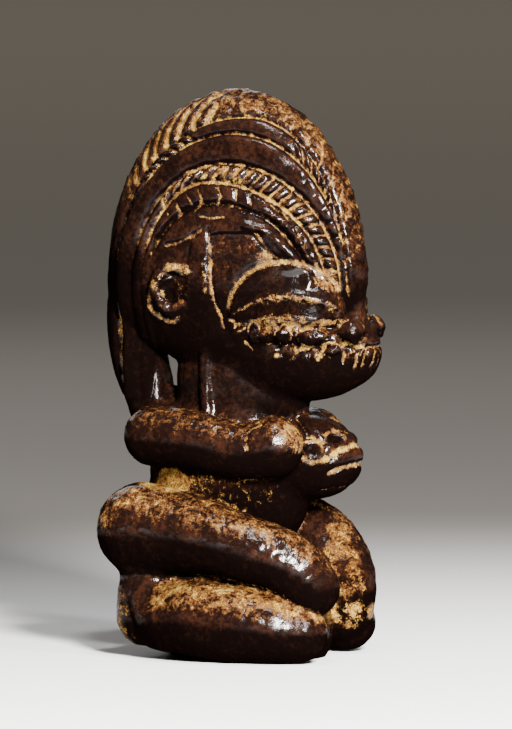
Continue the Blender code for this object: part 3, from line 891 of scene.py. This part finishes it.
# %% Nostrils, cheek and teeth
PEARLS = [((12.9, 21.8, 114.6), (1.9, 4.0, 3.8), 0.9), ((24.4, 23.4, 113.9), (2.9, 4.0, 3.4), 1.2),
          ((34.6, 20.8, 113.9), (5.6, 4.0, 2.9), 1.7), ((40.6, 17.4, 109.3), (3.6, 4.0, 2.5), 1.5),
          ((45.4, 12.3, 115.8), (4.4, 5.0, 4.2), 0.9)]
TEETH = [((43.9, 13.6, 108.3), (43.2, 13.9, 105.0)), ((47.5, 10.3, 109.1), (46.5, 10.0, 102.6)),
         ((49.7, 7.1, 109.7), (48.6, 7.7, 102.9)), ((51.7, 2.6, 109.4), (50.3, 3.8, 102.6)),
         ((51.9, 0.0, 109.4), (50.8, 0.0, 102.6))]
carving.strokes([
    (1.2, 0.7, 0.75, [(13.5, 21.9, 112.6), (14.5, 21.8, 116.1), (18.1, 24.0, 119.0), (25.8, 24.8, 120.8)]),
    (1.1, 0.7, 0.8, [(26.8, 22.6, 117.1), (30.9, 23.6, 119.4), (34.3, 22.6, 120.2), (39.9, 18.0, 118.9)]),
    (1.1, 0.8, 0.85, [(41.1, 16.0, 118.9), (43.6, 11.5, 120.0), (45.5, 6.0, 119.2), (48.2, 4.5, 117.0),
                      (48.9, 4.6, 112.5)]),
    (1.0, 0.6, 0.6, [(21.6, 22.8, 113.5), (23.2, 23.1, 117.1), (26.8, 24.4, 119.3)]),
    (1.3, 1.0, 0.8, [(35.4, 17.7, 105.9), (36.7, 17.4, 108.7), (39.3, 16.3, 111.0), (43.7, 13.1, 111.5),
                     (48.5, 8.8, 110.3), (51.5, 3.0, 110.0), (52.0, 0.0, 110.0)]),
    (1.0, 0.5, 0.7, [(9.3, 20.3, 111.7), (11.6, 19.7, 108.9)]),
    (1.0, 0.5, 0.7, [(3.9, 22.9, 119.4), (7.3, 22.2, 117.4)]),
    (1.0, 0.5, 0.7, [(6.0, 22.0, 114.5), (9.5, 21.6, 116.2)]),
    (1.0, 0.5, 0.7, [(15.5, 21.5, 110.0), (18.0, 21.0, 108.5)])])
on_cheek = ramp(forward, 8, 13) * ramp(height_up, 109, 112) * ramp(120.5 - height_up, 0, 1.5)
on_cheek *= ramp(side, 12, 16)
carving.lay(0.5 * hand_noise(points, 2.4, 2, 21.0) * on_cheek,
            0.64 * carving.fleck * on_cheek * ramp(height_up, 111, 118))
on_muzzle = ramp(forward, 14, 22) * ramp(height_up, 103, 108) * ramp(117 - height_up, 0, 3) * ramp(side, 5, 9)
knots = hand_noise(points, 2.6, 2, 51.0)
carving.lay(1.15 * knots * on_muzzle, (0.34 + 0.6 * knots) * on_muzzle)
for centre, radii, rise in PEARLS:
    carving.pearl(centre, radii, rise)
carving.strokes([(1.5, 1.2, 0.8, tooth) for tooth in TEETH])
print("muzzle with", len(TEETH), "cuts between the teeth")

# %% [markdown]
# ## Hands, arms and legs
# The fingers are pale slanting cuts round the front of the joined hands, with two dark hollows between the
# thumbs. On the limbs there are few cuts: a line where each roll meets the next one.

# %% Fingers and limb lines
carving.strokes([
    (2.3, 1.1, 1.0, [(34.0, 13.9, 69.9), (37.2, 12.4, 71.3), (39.7, 10.2, 73.3), (43.8, 2.8, 75.3),
                     (44.4, 0.0, 75.6)]),
    (1.9, 1.0, 1.0, [(37.5, 11.2, 65.6), (41.4, 8.6, 67.3), (44.5, 3.8, 68.4), (45.0, 0.0, 68.6)]),
    (1.6, 0.9, 0.95, [(29.6, 12.0, 79.1), (32.6, 11.9, 78.1), (35.7, 11.4, 76.8)]),
    (1.3, 0.7, 0.8, [(34.5, 10.0, 79.4), (36.1, 7.3, 80.7), (38.1, 4.5, 80.9), (40.7, 1.5, 79.7)]),
    (1.2, 0.6, 0.5, [(33.2, 8.5, 59.3), (37.1, 7.0, 60.4), (40.1, 1.7, 60.4)]),
    (1.3, 0.8, 0.6, [(23.0, 6.0, 85.2), (26.2, 8.8, 82.6), (28.6, 11.1, 80.4), (29.6, 12.0, 78.6)]),
    (1.3, 0.6, 0.7, [(17.8, 27.5, 83.7), (14.9, 28.7, 82.4), (13.4, 30.8, 79.7), (14.4, 32.3, 74.9)]),
    (0.9, 0.4, 0.6, [(-9.9, 15.7, 87.5), (-2.9, 23.6, 86.4), (2.5, 24.3, 84.9), (10.5, 25.8, 83.3)]),
    (2.0, 0.6, 0.8, [(29.2, 16.1, 71.0), (31.3, 14.7, 69.5), (34.7, 13.6, 70.2)])])
carving.pearl((31.8, 13.9, 74.7), (3.4, 4.2, 2.8), -1.7)
carving.pearl((38.2, 7.8, 78.2), (3.2, 4.0, 2.4), -1.6)
print("hands and limbs")

# %% [markdown]
# ## Where the patina has worn
# Dust and wear leave pale stone on the upper sides of the shins and thighs, at the waist and between the
# knees. These places are soft patches, and the hollows between the masses are found by looking a little way
# out from the skin: where the next mass is near, the point lies in a crease.

# %% Worn places and creases
CREASE_REACH = 1.6
WORN_PATCHES = [((-20.0, 20.0, 62.0), (14.0, 12.0, 7.0), 0.72), ((0.0, 18.0, 60.0), (30.0, 14.0, 10.0), 0.37),
                ((-36.0, 27.0, 48.0), (10.0, 10.0, 9.0), 0.5), ((26.0, 22.0, 78.0), (11.0, 10.0, 9.0), 0.55),
                ((26.0, 25.0, 119.5), (17.0, 6.0, 4.0), 0.45), ((43.0, 20.0, 15.0), (5.0, 6.0, 5.0), 0.6),
                ((-33.0, 20.0, 17.0), (12.0, 14.0, 22.0), 0.46)]
facing_up = carving.normals[:, 2]
crease = 1.0 - stone(points + CREASE_REACH * normals) / CREASE_REACH
crease = ramp(crease, 0.08, 0.6)
on_shin = ramp(side, 14, 20) * ramp(30 - height_up, 0, 3) * ramp(height_up, 12, 16) * ramp(forward, -25, -19)
on_thigh = ramp(side, 10, 18) * ramp(62 - height_up, 0, 3) * ramp(height_up, 30, 36)
on_arm = ramp(side, 10, 15) * ramp(90 - height_up, 0, 2) * ramp(height_up, 64, 70)
inner_leg = ramp(-normals[:, 1] * np.sign(points[:, 1]), 0.2, 0.6)
inner_leg *= ramp(forward, 26, 30) * ramp(50 - height_up, 0, 5)
worn = 0.88 + 0.55 * hand_noise(points, 4.0, 3, 81.0)
carving.lay(0.0, 0.59 * worn * on_shin * ramp(facing_up, 0.10, 0.60))
carving.lay(0.0, 0.42 * worn * on_thigh * ramp(facing_up, 0.1, 0.6))
carving.lay(0.0, 0.34 * worn * on_arm * ramp(facing_up, 0.1, 0.7))
carving.lay(0.0, 0.45 * crease * ramp(90 - height_up, 0, 5))
carving.lay(0.0, 0.54 * worn * inner_leg * ramp(height_up, 6, 10))
for centre, radii, share in WORN_PATCHES:
    carving.lump(centre, radii, 0.0, share)
print("worn share of the skin", round(float((carving.pale > 0.4).mean()), 3))

# %% [markdown]
# ## Where shade is painted and the stone is dull
# Hands polish what they can reach, and the tops of the lids shine most. Undersides, grooves, the eye's slit,
# the queue, the neck, the torso, the upper lid and the broad band get painted shade: their colour is taken
# towards nearly black, and they are made dull. Two more numbers hold this, the painted shade and polish, and
# the material reads them later. The painted shade gives way wherever pale stone shows.

# %% Painted shade and polish
on_queue = ramp(-24 - forward, 0, 8) * ramp(height_up, 84, 90) * ramp(165 - height_up, 0, 30)
low_shin = ramp(side, 14, 18) * ramp(14 - height_up, 0, 4)
on_torso = ramp(26 - side, 0, 3) * ramp(30 - forward, 0, 4) * ramp(70 - height_up, 0, 4)
on_torso *= ramp(height_up, 44, 50)
on_neck = ramp(107 - height_up, 0, 5) * ramp(height_up, 87, 90)
upper_lid = on_dome * ramp(height_up - upper_edge, 0, 1)
broad_band = ramp(lines[2], 0, 1) * ramp(-lines[1], 2.0, 3.5) * hair
# Painted shade under every surface that faces down.
painted_shade = ramp(-facing_up, -0.32, 0.2)
# Painted shade in the grooves, the slit, on the queue, the neck and under the shins; the torso, upper lid and
# broad band are darkened the same way.
for share, place in ((1.0, on_queue), (1.0, low_shin), (0.55, on_torso), (0.75, upper_lid),
                     (0.9, carving.groove), (0.8, slit * on_dome), (0.6, broad_band), (0.6, on_neck)):
    painted_shade = np.maximum(painted_shade, share * place)
not_pale = 1.0 - ramp(carving.pale, 0.3, 0.7)
painted_shade *= not_pale
polish = upper_lid * ramp(forward, 17, 25) - np.maximum(0.8 * inner_leg, 0.6 * on_torso) - 0.35 * on_shin
print("dull share of the skin", round(float((painted_shade > 0.5).mean()), 3))

# %% [markdown]
# ## The knife's unevenness
# A hand-cut surface is never quite smooth. Broad shallow facets come from the rasp, small pits from chips and
# from the soft spots in the stone, and the pale places are the rough ones.

# %% Uneven skin
broad = hand_noise(points, 9.0, 2, 0.0)
grain = hand_noise(points, 2.0, 3, 5.0)
quiet = 1.0 - 0.7 * on_dome
rough = 0.45 + 0.8 * carving.pale + 0.7 * on_thigh + 0.4 * on_arm
carving.lay((0.26 * broad + 0.20 * grain * rough) * quiet)
points += normals * carving.height[:, None]
print("heights from", carving.height.min().round(2), "to", carving.height.max().round(2), "mm")

# %% [markdown]
# ## Back to a mesh
# The carved corners go back into the mesh with their three numbers, and the mesh is thinned to a size that
# a viewer can carry. Thinning keeps corners where the surface bends. Then the underside is cut flat on the
# floor and closed.

# %% Thin and cut flat
TRIANGLE_LIMIT = 190000
LOWER_EDGE = 0.0
mesh = figure.data
mesh.vertices.foreach_set("co", (to_figure(points) * MM).astype(np.float32).ravel())
mesh.update()
slopes = np.zeros(len(points) * 3, np.float32)
mesh.vertices.foreach_get("normal", slopes)
# Painted shade once more, under every facet of the carved skin that faces down.
painted_shade = np.maximum(painted_shade, ramp(-slopes.reshape(-1, 3)[:, 2], -0.15, 0.40) * not_pale)
for name, values in (("pale", np.clip(carving.pale, 0, 1)), ("painted_shade", painted_shade), ("polish", polish)):
    layer = mesh.attributes.new(name, "FLOAT", "POINT")
    layer.data.foreach_set("value", values.astype(np.float32))
triangles = 2 * len(mesh.polygons)
if triangles > TRIANGLE_LIMIT:
    figure.data = after_modifier(figure, "DECIMATE", ratio=TRIANGLE_LIMIT / triangles)


def keep_main_piece(bm):
    """Drops any crumb that isn't joined to the topmost point."""
    reached = {max(bm.verts, key=lambda vert: vert.co.z)}
    waiting = list(reached)
    while waiting:
        vert = waiting.pop()
        for edge in vert.link_edges:
            other = edge.other_vert(vert)
            if other not in reached:
                reached.add(other)
                waiting.append(other)
    crumbs = [vert for vert in bm.verts if vert not in reached]
    bmesh.ops.delete(bm, geom=crumbs, context="VERTS")


bm = bmesh.new()
bm.from_mesh(figure.data)
keep_main_piece(bm)
everything = bm.verts[:] + bm.edges[:] + bm.faces[:]
bmesh.ops.bisect_plane(bm, geom=everything, dist=1e-6, plane_co=(0, 0, LOWER_EDGE), plane_no=(0, 0, 1),
                       clear_inner=True)
bmesh.ops.triangle_fill(bm, use_beauty=True, edges=[edge for edge in bm.edges if edge.is_boundary])
bmesh.ops.recalc_face_normals(bm, faces=bm.faces[:])
open_edges = sum(1 for edge in bm.edges if not edge.is_manifold)
bm.to_mesh(figure.data)
bm.free()
figure.data.shade_smooth()
print(len(figure.data.polygons), "faces,", open_edges, "open edges")

# %% [markdown]
# ## Polished and worn soapstone
# The polish is a nearly black brown with red-brown clouds. Pale ochre shows wherever the carving record says
# so, broken up by noise into specks, because the dust sits in the pores, and rust lies round the ochre. Where
# the record holds painted shade the colour goes to nearly black. The polish is glossy and the bare stone is
# dull, so the same mask drives colour, roughness and bump, and the painted shade and bareness together turn a
# glossy shader into a dull one.


# %% The stone
SHADE_BLACK = (0.0016, 0.0008, 0.0007, 1)
BLACK_BROWN = (0.0045, 0.0018, 0.0013, 1)
RED_BROWN = (0.0150, 0.0052, 0.0027, 1)
RUST = (0.080, 0.031, 0.0085, 1)
OCHRE = (0.140, 0.078, 0.014, 1)
TAN = (0.315, 0.205, 0.046, 1)


def make_stone():
    """Polished black-brown stone that turns to rust, ochre and tan where it is worn, and to nearly black
    where shade is painted.
    """
    bench = Bench("steatite")
    pale, painted_shade, polish = (bench.painted(name) for name in ("pale", "painted_shade", "polish"))
    cloud = bench.noise(130, 5, 0.62, 0.4).between(0.38, 0.62)
    speck = bench.noise(620, 4, 0.62, 0.3).between(0.37, 0.63)
    fine = bench.noise(1900, 3, 0.6).between(0.37, 0.63)
    patch = bench.noise(290, 4, 0.6, 0.6).between(0.36, 0.64)
    grit = speck * 0.32 + patch * 0.28 + cloud * 0.14 + fine * 0.26
    base = bench.mix((cloud * 0.5 + speck * 0.5).between(0.20, 1.0), BLACK_BROWN, RED_BROWN)
    # Painted shade: the colour goes to nearly black where the painted shade number is high.
    base = bench.mix((painted_shade * 1.1 - grit * 0.5).between(0.0, 0.9), base, SHADE_BLACK)
    rusty = (pale * 1.1 + grit - painted_shade * 0.3).between(0.74, 1.22)
    bare = (pale * 1.1 + grit).between(1.06, 1.52)
    colour = bench.mix(rusty, base, RUST)
    dust = bench.mix((fine * 0.5 + cloud * 0.5).between(0.35, 0.9), OCHRE, TAN)
    colour = bench.mix(bare, colour, dust)
    gloss = 0.10 + fine * 0.07 + bare * 0.38 + rusty * 0.10
    pits = bench.node("ShaderNodeTexVoronoi", {}, bench.place, Scale=900.0, Randomness=1.0, output="Distance")
    relief = speck * 0.45 + fine * 0.25 + pits * 0.30
    bumpy = bench.node("ShaderNodeBump", {}, Strength=0.8, Distance=0.00040,
                       Height=relief * (0.15 + bare * 0.68))
    polished = bench.node("ShaderNodeBsdfPrincipled", {}, Base_Color=colour, Roughness=gloss, Normal=bumpy,
                          Specular_IOR_Level=0.32)
    dull = bench.node("ShaderNodeBsdfPrincipled", {}, Base_Color=colour, Roughness=0.9, Normal=bumpy,
                      Specular_IOR_Level=0.0)
    dullness = (painted_shade - polish + bare * 0.85 + rusty * 0.2).between(0.05, 0.95)
    shader = bench.node("ShaderNodeMixShader", {}, dullness, polished, dull)
    bench.node("ShaderNodeOutputMaterial", {}, Surface=shader)
    return bench.material


figure.data.materials.clear()
figure.data.materials.append(make_stone())
print("stone material")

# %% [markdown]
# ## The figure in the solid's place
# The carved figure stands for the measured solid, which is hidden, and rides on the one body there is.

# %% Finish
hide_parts(FIGURE)
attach(figure, "root")
bpy.context.view_layer.update()
